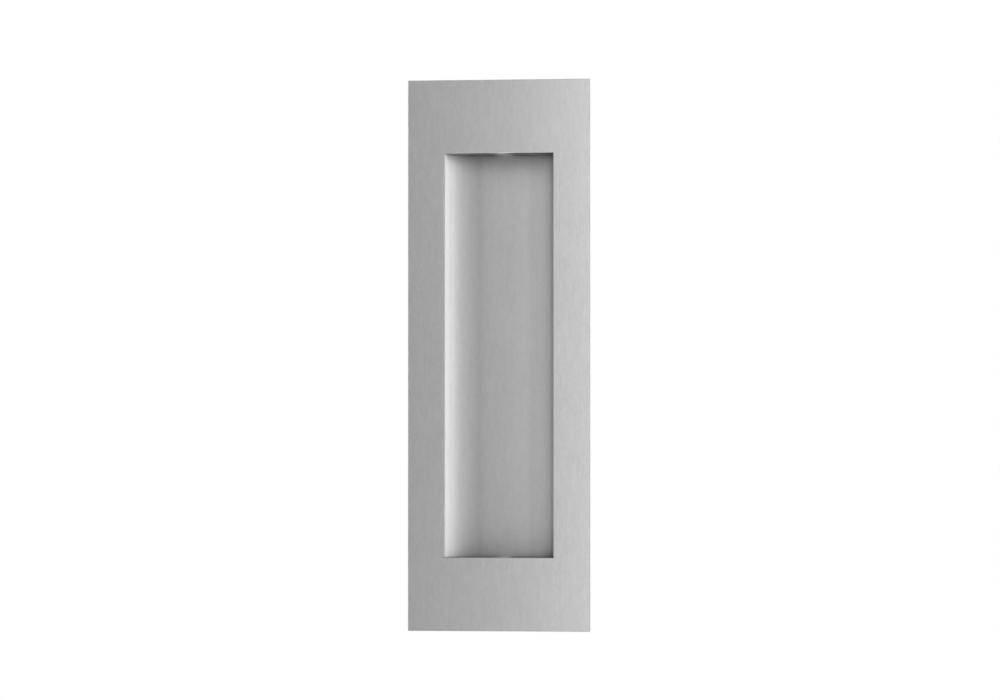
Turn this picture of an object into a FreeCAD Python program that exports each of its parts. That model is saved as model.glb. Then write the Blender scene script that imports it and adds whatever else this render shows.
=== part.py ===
import FreeCAD, Part
import enum
import math
import os
import Sketcher

# Flush pull for a pocket door, in brushed stainless steel: a face plate with a sharp-cornered window,
# a trough bent to a coved U, and two end plates that close the trough and carry the fixing holes.
# Trough and end plates stand in a shallow seat in the plate's back, flush with the window inside.
# The origin is the middle of the face plate's back, which lies on the door. The front looks along -Y,
# the trough goes into the door along +Y, and Z runs up the door. Sizes are in millimetres.

SIZES = (
    ("plate_width", 50.0, "face plate, across the door"),
    ("plate_height", 150.0, "face plate, up the door"),
    ("plate_thickness", 2.0, "face plate, as it stands proud of the door"),
    ("window_width", 30.0, "window in the plate and inside width of the trough"),
    ("window_height", 110.0, "window in the plate and inside length of the trough"),
    ("edge_break", 0.15, "chamfer on the front edges of the plate"),
    ("seat_depth", 0.5, "seat in the plate's back for the trough and the end plates"),
    ("seat_clearance", 0.1, "between the seat's sides and the sheets that stand in it"),
    ("recess_depth", 14.0, "from the front of the plate to the floor of the recess"),
    ("cove_radius", 7.0, "inside radius of the bends between walls and floor"),
    ("trough_thickness", 1.2, "sheet that the trough is bent from"),
    ("end_thickness", 1.2, "sheet that the end plates are cut from"),
    ("fixing_hole_diameter", 4.0, "hole for a fixing screw in each end plate"),
    ("fixing_hole_above_floor", 1.5, "from the floor of the recess to the edge of the hole"),
)

# Sizes that follow from the ones above, as expressions on the sheet. Depths of the trough are from the
# floor of its seat. The bends leave this much of each wall and of the floor flat, however large their
# radius is set.
SMALLEST_FLAT = 0.5
TROUGH_INSIDE_DEPTH = "(Sizes.recess_depth - Sizes.plate_thickness + Sizes.seat_depth)"
LARGEST_COVE = f"min(Sizes.window_width / 2; {TROUGH_INSIDE_DEPTH}) - {SMALLEST_FLAT}"
COVE_INSIDE = f"min(Sizes.cove_radius; {LARGEST_COVE})"
TROUGH_INSIDE = ("Sizes.window_width", TROUGH_INSIDE_DEPTH, COVE_INSIDE)
TROUGH_OUTSIDE = (
    "Sizes.window_width + 2 * Sizes.trough_thickness",
    f"{TROUGH_INSIDE_DEPTH} + Sizes.trough_thickness",
    f"{COVE_INSIDE} + Sizes.trough_thickness",
)
HOLE_FROM_SEAT = (
    f"{TROUGH_INSIDE_DEPTH} - Sizes.fixing_hole_above_floor - Sizes.fixing_hole_diameter / 2"
)
SEAT = (
    "Sizes.window_width + 2 * (Sizes.trough_thickness + Sizes.seat_clearance)",
    "Sizes.window_height + 2 * (Sizes.end_thickness + Sizes.seat_clearance)",
)

# Sketches are drawn at these rough sizes, and their constraints then bring them to the sheet's
ROUGH_SIDE = 20.0
ROUGH_BEND = 4.0


class Axis(enum.IntEnum):
    """A sketch's own axes, as its constraints number them."""

    X = -1
    Y = -2


class Point(enum.IntEnum):
    """The points of a curve, as a sketch's constraints number them."""

    START = 1
    END = 2
    CENTRE = 3


doc = FreeCAD.newDocument("pocket_door_pull")


def fill_sheet():
    sheet = doc.addObject("Spreadsheet::Sheet", "Sizes")
    for row, (alias, value, note) in enumerate(SIZES, start=1):
        sheet.set(f"A{row}", alias.replace("_", " "))
        sheet.set(f"B{row}", str(value))
        sheet.set(f"C{row}", note)
        sheet.setAlias(f"B{row}", alias)
    doc.recompute()
    return sheet


def new_body(name):
    body = doc.addObject("PartDesign::Body", name)
    body.Label = name
    return body


def new_sketch(body, name, plane):
    sketch = body.newObject("Sketcher::SketchObject", name)
    datum = [item for item in body.Origin.OriginFeatures if item.Role == plane][0]
    sketch.AttachmentSupport = [(datum, "")]
    sketch.MapMode = "FlatFace"
    return sketch


def line(x1, y1, x2, y2):
    return Part.LineSegment(FreeCAD.Vector(x1, y1, 0), FreeCAD.Vector(x2, y2, 0))


def quarter_circle(centre_x, centre_y, radius, number):
    """A quarter of a circle, numbered from 0 anticlockwise from the sketch's X axis."""
    centre = FreeCAD.Vector(centre_x, centre_y, 0)
    circle = Part.Circle(centre, FreeCAD.Vector(0, 0, 1), radius)
    return Part.ArcOfCircle(circle, number * math.pi / 2, (number + 1) * math.pi / 2)


def bind(sketch, constraint, name, expression):
    """Add a driving constraint, name it and tie it to the sheet."""
    index = sketch.addConstraint(constraint)
    sketch.renameConstraint(index, name)
    sketch.setExpression(f"Constraints.{name}", expression)


def draw_centred_rectangle(sketch, width, height):
    """A rectangle about the sketch's origin; width and height are expressions on the sheet."""
    half = ROUGH_SIDE / 2
    bottom, right, top, left = sketch.addGeometry(
        [
            line(-half, -half, half, -half),
            line(half, -half, half, half),
            line(half, half, -half, half),
            line(-half, half, -half, -half),
        ],
        False,
    )
    for first, second in ((bottom, right), (right, top), (top, left), (left, bottom)):
        sketch.addConstraint(Sketcher.Constraint("Coincident", first, Point.END, second, Point.START))
    for side in (bottom, top):
        sketch.addConstraint(Sketcher.Constraint("Horizontal", side))
    for side in (right, left):
        sketch.addConstraint(Sketcher.Constraint("Vertical", side))
    origin = (Axis.X, Point.START)
    sketch.addConstraint(Sketcher.Constraint("Symmetric", bottom, Point.START, top, Point.START, *origin))
    across = Sketcher.Constraint("DistanceX", bottom, Point.START, bottom, Point.END, ROUGH_SIDE)
    bind(sketch, across, "width", width)
    upward = Sketcher.Constraint("DistanceY", right, Point.START, right, Point.END, ROUGH_SIDE)
    bind(sketch, upward, "height", height)


def draw_trough_outline(sketch, width, depth, radius):
    """The coved U, closed along its mouth; width, depth and radius are expressions."""
    half = ROUGH_SIDE / 2
    deep = ROUGH_SIDE / 2
    flat = half - ROUGH_BEND
    wall = deep - ROUGH_BEND
    mouth, right_wall, right_bend, floor, left_bend, left_wall = sketch.addGeometry(
        [
            line(-half, 0, half, 0),
            line(half, 0, half, wall),
            quarter_circle(flat, wall, ROUGH_BEND, 0),
            line(flat, deep, -flat, deep),
            quarter_circle(-flat, wall, ROUGH_BEND, 1),
            line(-half, wall, -half, 0),
        ],
        False,
    )
    sketch.addConstraint(Sketcher.Constraint("Coincident", mouth, Point.END, right_wall, Point.START))
    sketch.addConstraint(Sketcher.Constraint("Coincident", left_wall, Point.END, mouth, Point.START))
    for first, second in (
        (right_wall, right_bend),
        (right_bend, floor),
        (floor, left_bend),
        (left_bend, left_wall),
    ):
        sketch.addConstraint(Sketcher.Constraint("Tangent", first, Point.END, second, Point.START))
    sketch.addConstraint(Sketcher.Constraint("Vertical", right_wall))
    sketch.addConstraint(Sketcher.Constraint("Vertical", left_wall))
    sketch.addConstraint(Sketcher.Constraint("Horizontal", floor))
    sketch.addConstraint(Sketcher.Constraint("Equal", right_bend, left_bend))
    sketch.addConstraint(Sketcher.Constraint("PointOnObject", mouth, Point.START, Axis.X))
    sketch.addConstraint(Sketcher.Constraint("Symmetric", mouth, Point.START, mouth, Point.END, Axis.Y))
    across = Sketcher.Constraint("DistanceX", mouth, Point.START, mouth, Point.END, ROUGH_SIDE)
    bind(sketch, across, "width", width)
    inward = Sketcher.Constraint("DistanceY", mouth, Point.END, floor, Point.START, deep)
    bind(sketch, inward, "depth", depth)
    bend = Sketcher.Constraint("Radius", right_bend, ROUGH_BEND)
    bind(sketch, bend, "bend", radius)


def pad(body, sketch, name, length, midplane=False):
    feature = body.newObject("PartDesign::Pad", name)
    feature.Profile = sketch
    feature.Midplane = midplane
    feature.setExpression("Length", length)
    sketch.Visibility = False
    return feature


def cut_through(body, sketch, name):
    """Pocket right through the body, both ways from the sketch."""
    feature = body.newObject("PartDesign::Pocket", name)
    feature.Profile = sketch
    feature.Type = "ThroughAll"
    feature.Midplane = True
    sketch.Visibility = False
    return feature


def cut_from_back(body, sketch, name, length):
    """Pocket from the plate's back towards its front, the way the sketch's normal points."""
    feature = body.newObject("PartDesign::Pocket", name)
    feature.Profile = sketch
    feature.Reversed = True
    feature.setExpression("Length", length)
    sketch.Visibility = False
    return feature


def make_face_plate():
    body = new_body("face_plate")
    outline = new_sketch(body, "PlateOutline", "XZ_Plane")
    draw_centred_rectangle(outline, "Sizes.plate_width", "Sizes.plate_height")
    pad(body, outline, "PlateBlank", "Sizes.plate_thickness")
    window = new_sketch(body, "WindowOutline", "XZ_Plane")
    draw_centred_rectangle(window, "Sizes.window_width", "Sizes.window_height")
    cut = cut_through(body, window, "Window")
    doc.recompute()
    middle = cut.Shape.BoundBox.Center.y
    on_front = [
        f"Edge{number}"
        for number, edge in enumerate(cut.Shape.Edges, start=1)
        if edge.BoundBox.YMax < middle
    ]
    chamfer = body.newObject("PartDesign::Chamfer", "BrokenFrontEdges")
    chamfer.Base = (cut, on_front)
    chamfer.setExpression("Size", "Sizes.edge_break")
    seat = new_sketch(body, "SeatOutline", "XZ_Plane")
    draw_centred_rectangle(seat, *SEAT)
    cut_from_back(body, seat, "TroughSeat", "Sizes.seat_depth")
    return body


def stand_in_seat(body):
    """Put the body's mouth on the floor of the seat."""
    body.setExpression("Placement.Base.y", "-Sizes.seat_depth")


def make_trough():
    body = new_body("recess_trough")
    outside = new_sketch(body, "TroughOutside", "XY_Plane")
    draw_trough_outline(outside, *TROUGH_OUTSIDE)
    pad(body, outside, "TroughBlank", "Sizes.window_height", midplane=True)
    inside = new_sketch(body, "TroughInside", "XY_Plane")
    draw_trough_outline(inside, *TROUGH_INSIDE)
    cut_through(body, inside, "TroughHollow")
    stand_in_seat(body)
    return body


def make_end_plate(name, bottom):
    """An end plate with the trough's outside outline; bottom is the expression for its lower face."""
    body = new_body(name)
    profile = new_sketch(body, "EndProfile_" + name, "XY_Plane")
    draw_trough_outline(profile, *TROUGH_OUTSIDE)
    rough_centre = FreeCAD.Vector(0, ROUGH_BEND, 0)
    rough_circle = Part.Circle(rough_centre, FreeCAD.Vector(0, 0, 1), ROUGH_BEND / 2)
    hole = profile.addGeometry(rough_circle, False)
    profile.addConstraint(Sketcher.Constraint("PointOnObject", hole, Point.CENTRE, Axis.Y))
    diameter = Sketcher.Constraint("Diameter", hole, ROUGH_BEND)
    bind(profile, diameter, "hole", "Sizes.fixing_hole_diameter")
    place = Sketcher.Constraint("DistanceY", Axis.X, Point.START, hole, Point.CENTRE, ROUGH_BEND)
    bind(profile, place, "hole_place", HOLE_FROM_SEAT)
    pad(body, profile, "EndBlank_" + name, "Sizes.end_thickness")
    body.setExpression("Placement.Base.z", bottom)
    stand_in_seat(body)
    return body


def check(bodies):
    """Stop if any feature failed or any body isn't one valid solid."""
    for item in doc.Objects:
        if "Invalid" in item.State or "Error" in item.State:
            raise RuntimeError(f"{item.Label} failed: {item.State}")
    for body in bodies:
        shape = body.Shape
        if shape.isNull() or not shape.isValid() or len(shape.Solids) != 1:
            raise RuntimeError(f"{body.Label} isn't one valid solid")
        print(f"{body.Label}: {shape.Volume:.1f} mm3")


def export(bodies):
    os.makedirs("parts", exist_ok=True)
    for body in bodies:
        body.Shape.exportStep(f"parts/{body.Label}.step")


fill_sheet()
parts = [
    make_face_plate(),
    make_trough(),
    make_end_plate("upper_end_plate", "Sizes.window_height / 2"),
    make_end_plate("lower_end_plate", "-Sizes.window_height / 2 - Sizes.end_thickness"),
]
doc.recompute()
check(parts)
export(parts)
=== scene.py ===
import math
import random

import bmesh
import bpy
from mathutils import Matrix, Vector


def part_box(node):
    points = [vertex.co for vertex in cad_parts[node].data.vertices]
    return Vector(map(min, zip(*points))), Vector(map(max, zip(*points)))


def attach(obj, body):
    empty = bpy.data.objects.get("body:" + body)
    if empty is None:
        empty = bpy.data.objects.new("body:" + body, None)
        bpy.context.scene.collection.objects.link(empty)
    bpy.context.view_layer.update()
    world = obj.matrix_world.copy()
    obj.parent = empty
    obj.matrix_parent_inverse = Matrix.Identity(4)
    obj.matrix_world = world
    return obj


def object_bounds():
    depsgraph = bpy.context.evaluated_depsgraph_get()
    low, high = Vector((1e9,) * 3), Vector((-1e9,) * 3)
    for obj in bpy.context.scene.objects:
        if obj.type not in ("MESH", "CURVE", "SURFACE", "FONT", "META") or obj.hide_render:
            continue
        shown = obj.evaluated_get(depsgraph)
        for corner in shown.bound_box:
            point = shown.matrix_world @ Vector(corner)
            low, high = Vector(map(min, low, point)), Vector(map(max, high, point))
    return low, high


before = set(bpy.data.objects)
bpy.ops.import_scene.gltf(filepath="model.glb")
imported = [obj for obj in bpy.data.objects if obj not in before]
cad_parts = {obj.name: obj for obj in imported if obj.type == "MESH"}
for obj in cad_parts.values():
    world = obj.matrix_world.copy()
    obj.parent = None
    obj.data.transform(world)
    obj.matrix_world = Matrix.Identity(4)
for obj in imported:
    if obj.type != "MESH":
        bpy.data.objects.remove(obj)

# Flush pull for a pocket door in satin stainless steel, seen from its front.
# X is across the pull, Z is up it, and +Y goes into the door. All sizes are in metres.

mm = 0.001
cadLow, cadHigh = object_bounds()
plateLow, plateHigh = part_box("face_plate")
troughLow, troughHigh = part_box("recess_trough")
endLow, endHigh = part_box("upper_end_plate")
sheet = endHigh[2] - endLow[2]        # thickness of the end plates, and of the trough
print("frame loaded")


def newMaterial(name):
    material = bpy.data.materials.new(name)
    material.use_nodes = True
    nodes = material.node_tree.nodes
    return material, nodes, material.node_tree.links, nodes["Principled BSDF"]


def addMath(tree, operation, first, second=None, third=None, clamp=False):
    # each of the values is a number or another node's output
    node = tree.nodes.new("ShaderNodeMath")
    node.operation = operation
    node.use_clamp = clamp
    for socket, value in zip(node.inputs, (first, second, third)):
        if value is None:
            continue
        if isinstance(value, (int, float)):
            socket.default_value = value
        else:
            tree.links.new(value, socket)
    return node.outputs[0]


def addSplit(tree, vector):
    node = tree.nodes.new("ShaderNodeSeparateXYZ")
    tree.links.new(vector, node.inputs[0])
    return node.outputs["X"], node.outputs["Y"], node.outputs["Z"]


def addBell(tree, value, middle, reach):
    # 1 at the middle, and next to nothing past twice the reach
    away = addMath(tree, "DIVIDE", addMath(tree, "SUBTRACT", value, middle), reach)
    square = addMath(tree, "MULTIPLY", away, away)
    return addMath(tree, "EXPONENT", addMath(tree, "MULTIPLY", square, -1))


def addFade(tree, distance, reach):
    # 1 at no distance or less, and a third at the reach
    distance = addMath(tree, "MAXIMUM", distance, 0)
    return addMath(tree, "EXPONENT", addMath(tree, "DIVIDE", distance, -reach))


def addRamp(tree, value, low, high):
    # 0 up to the low end, 1 from the high end on
    return addMath(tree, "DIVIDE", addMath(tree, "SUBTRACT", value, low), high - low, clamp=True)


def addChange(tree, shade, mask, change):
    # the shade times 1 + change where the mask is 1
    return addMath(tree, "MULTIPLY", shade, addMath(tree, "MULTIPLY_ADD", mask, change, 1))


def newGroup(name, inputs, outputs):
    group = bpy.data.node_groups.new(name, "ShaderNodeTree")
    for label, kind, value in inputs:
        socket = group.interface.new_socket(label, in_out="INPUT", socket_type=kind)
        if value is not None:
            socket.default_value = value
    for label in outputs:
        group.interface.new_socket(label, in_out="OUTPUT", socket_type="NodeSocketFloat")
    return group, group.nodes.new("NodeGroupInput"), group.nodes.new("NodeGroupOutput")


def placeGroup(tree, group, vector, **values):
    node = tree.nodes.new("ShaderNodeGroup")
    node.node_tree = group
    tree.links.new(vector, node.inputs["Vector"])
    for name, value in values.items():
        node.inputs[name].default_value = value
    return node


# brushed grain: hair lines that run up the pull, belt strokes and slow mottling,
# each with its scale per metre, its shift and its share
grain = {
    "hair": {"scale": (3700, 3700, 880), "shift": (0, 0, 0), "detail": 3, "roughness": 0.6, "share": 0.55},
    "band": {"scale": (900, 900, 220), "shift": (3, 7, 5), "detail": 2, "roughness": 0.5, "share": 0.3},
    "cloud": {"scale": (90, 90, 90), "shift": (0, 0, 0), "detail": 2, "roughness": 0.5, "share": 0.15},
}
noiseMiddle = 0.5


def addNoise(tree, vector, layer):
    mapping = tree.nodes.new("ShaderNodeMapping")
    mapping.inputs["Scale"].default_value = layer["scale"]
    mapping.inputs["Location"].default_value = layer["shift"]
    tree.links.new(vector, mapping.inputs["Vector"])
    noise = tree.nodes.new("ShaderNodeTexNoise")
    noise.inputs["Scale"].default_value = 1
    noise.inputs["Detail"].default_value = layer["detail"]
    noise.inputs["Roughness"].default_value = layer["roughness"]
    tree.links.new(mapping.outputs["Vector"], noise.inputs["Vector"])
    return noise.outputs["Fac"]


def buildGrainGroup():
    inputs = [("Vector", "NodeSocketVector", None), ("Strength", "NodeSocketFloat", 1.0)]
    group, start, end = newGroup("brushedGrain", inputs, ("Shade",))
    mixed = -noiseMiddle
    for layer in grain.values():
        noise = addNoise(group, start.outputs["Vector"], layer)
        mixed = addMath(group, "MULTIPLY_ADD", noise, layer["share"], mixed)
    shade = addMath(group, "MULTIPLY_ADD", mixed, start.outputs["Strength"], 1)
    group.links.new(shade, end.inputs["Shade"])
    return group


# painted shade and light in the recess: it is painted darker beside its end plates, most of all down at
# its floor, and painted lighter round the fixing holes, where light falls in through them
paintedShadeAndLight = {
    "joint": endLow[2],               # inner face of the upper end plate
    "skin": 0.02 * mm,
    "reach": 0.8 * mm,
    "amount": 0.32,
    "depth": (2 * mm, 11 * mm),       # it grows from the first of these to the second
    "shallowShare": 0.15,
    # painted shade on the inner faces of the end plates
    "endShade": 0.34,                 # inner faces of the end plates
    # painted light round the upper and the lower hole, where light falls in through them
    "haloShade": (2, 1.35),           # and round the upper and the lower hole
    "halo": (1.9 * mm, 6 * mm),       # its reach across and in depth
    "holeDepth": 8.5 * mm,
    # painted shade down the right-hand cove, under the plate, and in the right-hand corners
    "lip": (12.2 * mm, 13.5 * mm),    # the right-hand cove, darker under the plate
    "lipShade": 0.72,
    "corner": (9 * mm, 12.5 * mm),    # right-hand corners of the recess, darker to the ends
    "cornerReach": 1.6 * mm,
    "cornerAmount": 0.38,
    # painted shade along where each cove meets the floor, and painted highlights on the bends: place
    # across, change and reach of each
    "bends": ((7.4 * mm, -0.07, 1.2 * mm), (10.8 * mm, 0.06, 1.2 * mm), (14.3 * mm, 0.05, 0.5 * mm)),
}


def buildPaintedShadeGroup():
    group, start, end = newGroup("paintedRecessShade", [("Vector", "NodeSocketVector", None)], ("Shade",))
    x, y, z = addSplit(group, start.outputs["Vector"])
    away = addMath(group, "SUBTRACT", paintedShadeAndLight["joint"], addMath(group, "ABSOLUTE", z))
    # where the painted light round the holes reaches
    halo = addMath(group, "MULTIPLY", addBell(group, x, 0, paintedShadeAndLight["halo"][0]),
                   addBell(group, y, paintedShadeAndLight["holeDepth"], paintedShadeAndLight["halo"][1]))

    # painted shade beside the end plates
    inside = addMath(group, "GREATER_THAN", away, paintedShadeAndLight["skin"])
    dark = addMath(group, "MULTIPLY", addFade(group, away, paintedShadeAndLight["reach"]), inside)
    depth = addRamp(group, y, *paintedShadeAndLight["depth"])
    share = addMath(group, "MULTIPLY_ADD", depth, 1 - paintedShadeAndLight["shallowShare"], paintedShadeAndLight["shallowShare"])
    dark = addMath(group, "MULTIPLY", dark, share)
    dark = addMath(group, "MULTIPLY", dark, addMath(group, "SUBTRACT", 1, halo))
    shade = addMath(group, "MULTIPLY_ADD", dark, -paintedShadeAndLight["amount"], 1)

    # painted shade on their inner faces, and painted light round the holes, more at the upper one
    onEnd = addMath(group, "COMPARE", away, 0, paintedShadeAndLight["skin"])
    high, low = paintedShadeAndLight["haloShade"]
    upper = addMath(group, "GREATER_THAN", z, 0)
    rise = addMath(group, "MULTIPLY_ADD", upper, high - low, low - paintedShadeAndLight["endShade"])
    ends = addMath(group, "MULTIPLY_ADD", halo, rise, paintedShadeAndLight["endShade"] - 1)
    shade = addChange(group, shade, onEnd, ends)

    # painted shade down the right-hand side, under the plate and in the corners
    shade = addChange(group, shade, addRamp(group, x, *paintedShadeAndLight["lip"]), paintedShadeAndLight["lipShade"] - 1)
    within = addMath(group, "GREATER_THAN", away, -paintedShadeAndLight["skin"])
    corner = addMath(group, "MULTIPLY", addFade(group, away, paintedShadeAndLight["cornerReach"]), within)
    corner = addMath(group, "MULTIPLY", corner, addRamp(group, x, *paintedShadeAndLight["corner"]))
    shade = addChange(group, shade, corner, -paintedShadeAndLight["cornerAmount"])

    # painted shade and painted highlights along the bends
    across = addMath(group, "ABSOLUTE", x)
    for place, change, reach in paintedShadeAndLight["bends"]:
        shade = addChange(group, shade, addBell(group, across, place, reach), change)
    group.links.new(shade, end.inputs["Shade"])
    return group


# dulled edges: Mask is 1 on the plate's broken edges and cut sides and 0 on its flat front, and makes them
# rougher, and Shade is painted shade and painted light on them, evening out the light that they catch
edge = {
    "width": 0.16 * mm,
    "outside": (plateHigh[0], plateHigh[2]),
    "window": (troughHigh[0] - sheet, endLow[2]),
    # painted shade on the broken edges at the bottom, painted light on the broken edge along the top of
    # the window
    "low": 0.8,                       # broken edges at the bottom of the plate and the window
    "windowTop": 1.08,                # broken edge along the top of the window
    # painted shade on the window's cut ends, painted light on them beside the holes, and a painted
    # reflection of the bright left wall beside it
    "windowCut": 0.1,                 # cut ends of the window
    "overHole": (2.1, 1.5),           # and a stretch of them beside the upper and the lower hole
    "stretchAt": 1.1 * mm,
    "stretch": 2 * mm,
    "besideWall": 0.4,                # and more of them beside the bright left wall
    "wallReach": 3 * mm,
    # painted highlight on the cut sides of the plate
    "outerCut": 1.3,                  # cut sides of the plate
}


def addEdgeBand(tree, across, height, size):
    # 1 within the edge's width of a rectangle's sides, and of its ends
    width, top = size
    beside = addMath(tree, "COMPARE", across, width, edge["width"])
    beside = addMath(tree, "MULTIPLY", beside, addMath(tree, "LESS_THAN", height, top + edge["width"]))
    above = addMath(tree, "COMPARE", height, top, edge["width"])
    above = addMath(tree, "MULTIPLY", above, addMath(tree, "LESS_THAN", across, width + edge["width"]))
    return beside, above


def buildEdgeGroup():
    group, start, end = newGroup("roughEdgeAndPaintedShade", [("Vector", "NodeSocketVector", None)], ("Mask", "Shade"))
    x, y, z = addSplit(group, start.outputs["Vector"])
    across, height = addMath(group, "ABSOLUTE", x), addMath(group, "ABSOLUTE", z)
    plateSides, plateEnds = addEdgeBand(group, across, height, edge["outside"])
    windowSides, windowEnds = addEdgeBand(group, across, height, edge["window"])
    sides = addMath(group, "MAXIMUM", plateSides, windowSides)
    ends = addMath(group, "MAXIMUM", plateEnds, windowEnds)
    group.links.new(addMath(group, "MAXIMUM", sides, ends), end.inputs["Mask"])

    broken = addMath(group, "LESS_THAN", y, plateLow[1] + edge["width"])
    cut = addMath(group, "SUBTRACT", 1, broken)
    upper = addMath(group, "GREATER_THAN", z, 0)
    low = addMath(group, "MULTIPLY", ends, addMath(group, "LESS_THAN", z, 0))
    windowTop = addMath(group, "MULTIPLY", windowEnds, upper)

    # painted light on the window's cut ends beside the holes, and a painted reflection of the bright left
    # wall
    overUpper, overLower = edge["overHole"]
    rise = addMath(group, "MULTIPLY_ADD", upper, overUpper - overLower, overLower - edge["windowCut"])
    stretch = addBell(group, x, edge["stretchAt"], edge["stretch"])
    windowCut = addMath(group, "MULTIPLY_ADD", stretch, rise, edge["windowCut"] - 1)
    wall = addBell(group, x, -edge["window"][0], edge["wallReach"])
    windowCut = addMath(group, "MULTIPLY_ADD", wall, edge["besideWall"], windowCut)

    # painted shade and painted light on the edges, one factor for each band
    shade = 1
    for band, part, change in (
        (low, broken, edge["low"] - 1),
        (windowTop, broken, edge["windowTop"] - 1),
        (windowEnds, cut, windowCut),
        (plateSides, cut, edge["outerCut"] - 1),
    ):
        shade = addChange(group, shade, addMath(group, "MULTIPLY", band, part), change)
    group.links.new(shade, end.inputs["Shade"])
    return group


grainGroup = buildGrainGroup()
paintedShadeGroup = buildPaintedShadeGroup()
edgeGroup = buildEdgeGroup()

faceLook = {"colour": 0.463, "roughness": 0.35, "grain": 0.48, "edgeRoughness": 1.0}
# the recess steel carries the painted shade and light of the recess
recessLook = {"colour": 0.416, "roughness": 0.8, "anisotropy": 0.8, "grain": 0.32, "withPaintedShade": True}


def makeSteel(name, look):
    material, nodes, links, shader = newMaterial(name)
    tree = material.node_tree
    shader.inputs["Metallic"].default_value = 1
    shader.inputs["Roughness"].default_value = look["roughness"]
    shader.inputs["Anisotropic"].default_value = look.get("anisotropy", 0)
    place = nodes.new("ShaderNodeTexCoord").outputs["Object"]
    shade = placeGroup(tree, grainGroup, place, Strength=look["grain"]).outputs["Shade"]
    # painted shade and painted light in the recess
    if "withPaintedShade" in look:
        shade = addMath(tree, "MULTIPLY", shade, placeGroup(tree, paintedShadeGroup, place).outputs["Shade"])
    # rougher broken edges, with painted shade and painted light on them
    if "edgeRoughness" in look:
        roughAndShadedEdge = placeGroup(tree, edgeGroup, place)
        change = look["edgeRoughness"] - look["roughness"]
        rough = addMath(tree, "MULTIPLY_ADD", roughAndShadedEdge.outputs["Mask"], change, look["roughness"])
        links.new(rough, shader.inputs["Roughness"])
        shade = addMath(tree, "MULTIPLY", shade, roughAndShadedEdge.outputs["Shade"])
    level = addMath(tree, "MULTIPLY", shade, look["colour"])
    colour = nodes.new("ShaderNodeCombineColor")
    for channel in ("Red", "Green", "Blue"):
        links.new(level, colour.inputs[channel])
    links.new(colour.outputs[0], shader.inputs["Base Color"])
    return material


def coat(node, material):
    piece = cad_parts[node]
    piece.data.materials.clear()
    piece.data.materials.append(material)


faceSteel = makeSteel("faceSteel", faceLook)
recessSteel = makeSteel("recessSteel", recessLook)
coat("face_plate", faceSteel)
for node in ("recess_trough", "upper_end_plate", "lower_end_plate"):
    coat(node, recessSteel)
print("steels made")

# weld stitches on the back, where the trough and the end plates stand in the plate
weld = {
    "pool": 0.6 * mm,                 # radius of one weld pool
    "uneven": (0.9, 1),               # share of it that a pool has
    "flat": 0.8,
    "round": 2,                       # subdivisions of a pool
    "step": 0.75 * mm,
    "pools": 12,
    "sideAt": (-42, -14, 14, 42),     # mm up the long sides
    "endAt": (-8, 8),                 # mm across the short sides
    "wander": 0.05 * mm,
    "seed": 4,
    "colour": 0.36,
    "roughness": 0.45,
    "grain": 0.5,
}


def addStitch(mesh, chance, middle, along):
    for number in range(weld["pools"]):
        offset = (number - (weld["pools"] - 1) / 2) * weld["step"]
        place = middle + along * offset
        place.y += chance.uniform(-weld["wander"], 0)
        size = weld["pool"] * chance.uniform(*weld["uneven"])
        flattened = Matrix.Translation(place) @ Matrix.Diagonal((1, weld["flat"], 1, 1))
        bmesh.ops.create_icosphere(mesh, subdivisions=weld["round"], radius=size, matrix=flattened)


def addWelds():
    chance = random.Random(weld["seed"])
    mesh = bmesh.new()
    back = plateHigh[1]
    for side in (troughLow[0], troughHigh[0]):
        for height in weld["sideAt"]:
            addStitch(mesh, chance, Vector((side, back, height * mm)), Vector((0, 0, 1)))
    for end in (-endHigh[2], endHigh[2]):
        for across in weld["endAt"]:
            addStitch(mesh, chance, Vector((across * mm, back, end)), Vector((1, 0, 0)))
    data = bpy.data.meshes.new("weldStitches")
    mesh.to_mesh(data)
    mesh.free()
    for face in data.polygons:
        face.use_smooth = True
    data.materials.append(makeSteel("weldSteel", weld))
    piece = bpy.data.objects.new("weldStitches", data)
    bpy.context.scene.collection.objects.link(piece)
    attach(piece, "root")


addWelds()
print("welds added")

# camera, as the photo's: well back, a little to the right of the middle and below it
camera = {
    "place": (0.2113, -1.3820, -0.0276),
    "left": 8.69,                     # degrees
    "up": 1.19,
    "lens": 184.93,                   # mm
    "sensor": 36,
    "clip": (0.1, 100),
}


def addCamera():
    data = bpy.data.cameras.new("camera")
    data.lens = camera["lens"]
    data.sensor_width = camera["sensor"]
    data.clip_start, data.clip_end = camera["clip"]
    item = bpy.data.objects.new("camera", data)
    item.location = camera["place"]
    item.rotation_euler = (math.radians(90 + camera["up"]), 0, math.radians(camera["left"]))
    bpy.context.scene.collection.objects.link(item)
    bpy.context.scene.camera = item


addCamera()

studio = {
    "surround": 0.1,                  # the white world's light on matt surfaces
    "matt": 0.9,                      # roughness of the floor and the card
    "floorDrop": 0.3,                 # below the pull
    "floorSize": 8,
    "floorColour": 0.9,
    "floorGlow": 0.9,
    "cardSize": (4.2, 3.4),
    "cardPlace": (0, -1.1, 0.1),
    "cardColour": 0.04,
}


def addSeen(tree):
    # 1 for rays that see the background, 0 for light on matt surfaces
    path = tree.nodes.new("ShaderNodeLightPath")
    seen = addMath(tree, "MAXIMUM", path.outputs["Is Camera Ray"], path.outputs["Is Glossy Ray"])
    return addMath(tree, "MAXIMUM", seen, path.outputs["Is Transmission Ray"])


def addWorld():
    world = bpy.data.worlds.new("studio")
    bpy.context.scene.world = world
    world.use_nodes = True
    tree = world.node_tree
    background = tree.nodes["Background"]
    background.inputs["Color"].default_value = (1, 1, 1, 1)
    level = addMath(tree, "MULTIPLY_ADD", addSeen(tree), 1 - studio["surround"], studio["surround"])
    tree.links.new(level, background.inputs["Strength"])


def newMattGrey(name, level):
    material, nodes, links, shader = newMaterial(name)
    shader.inputs["Base Color"].default_value = (level, level, level, 1)
    shader.inputs["Roughness"].default_value = studio["matt"]
    return material, links, shader


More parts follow.
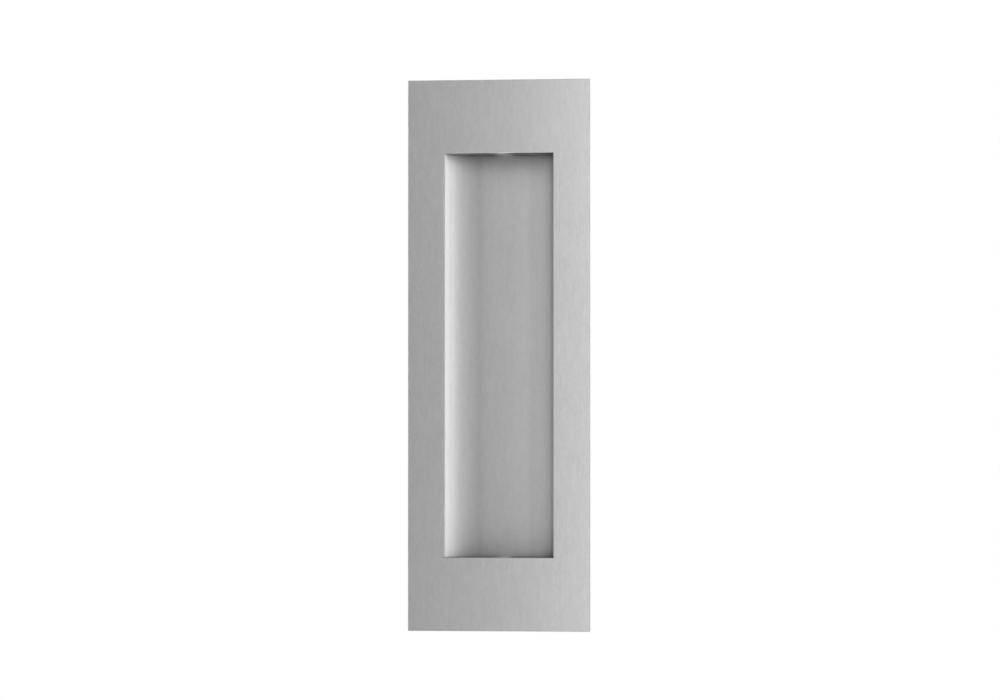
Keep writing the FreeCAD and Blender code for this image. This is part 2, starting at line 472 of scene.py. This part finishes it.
def addSheet(name, width, height, place, turn, material):
    mesh = bmesh.new()
    size = Matrix.Diagonal((width, height, 1, 1))
    bmesh.ops.create_grid(mesh, x_segments=1, y_segments=1, size=0.5, matrix=size)
    data = bpy.data.meshes.new(name)
    mesh.to_mesh(data)
    mesh.free()
    data.materials.append(material)
    item = bpy.data.objects.new(name, data)
    item.location = place
    item.rotation_euler = turn
    bpy.context.scene.collection.objects.link(item)
    return item


def addFloor():
    material, links, shader = newMattGrey("floorWhite", studio["floorColour"])
    shader.inputs["Emission Color"].default_value = (1, 1, 1, 1)
    glow = addMath(material.node_tree, "MULTIPLY", addSeen(material.node_tree), studio["floorGlow"])
    links.new(glow, shader.inputs["Emission Strength"])
    size = studio["floorSize"]
    addSheet("floor", size, size, (0, 0, cadLow[2] - studio["floorDrop"]), (0, 0, 0), material)


def addCard():
    # a dark card in front, so that the metal mirrors little but the lamps
    material, links, shader = newMattGrey("cardBlack", studio["cardColour"])
    width, height = studio["cardSize"]
    card = addSheet("frontCard", width, height, studio["cardPlace"], (math.radians(90), 0, 0), material)
    card.visible_camera = False


# lamps, all turned to the pull: place, width and height of each, and its brightness
lamps = {
    "nearStrip": ((0.0434, -0.2462, 0), 0.06, 0.4, 2),
    "front": ((0.342, -0.94, 0), 0.3, 1.5, 5.8),
    "frontHigh": ((0.3304, -0.9077, 0.2588), 0.3, 0.25, 11.7),
    "right": ((0.9125, -0.4063, 0.045), 0.13, 0.2, 61),
    "left": ((-0.819, -0.574, 0), 0.23, 0.3, 9),
    "leftHigh": ((-0.604, -0.72, 0.342), 0.23, 0.3, 8.2),
}


def addLamps():
    for name, (place, width, height, level) in lamps.items():
        data = bpy.data.lights.new(name, "AREA")
        data.shape = "RECTANGLE"
        data.size = width
        data.size_y = height
        data.energy = level * width * height * math.pi
        lamp = bpy.data.objects.new(name, data)
        lamp.location = place
        lamp.rotation_euler = (-Vector(place)).to_track_quat("-Z", "Y").to_euler()
        lamp.visible_camera = False
        bpy.context.scene.collection.objects.link(lamp)


addWorld()
addFloor()
addCard()
addLamps()
bpy.context.scene.view_settings.view_transform = "Standard"
print("studio lit")
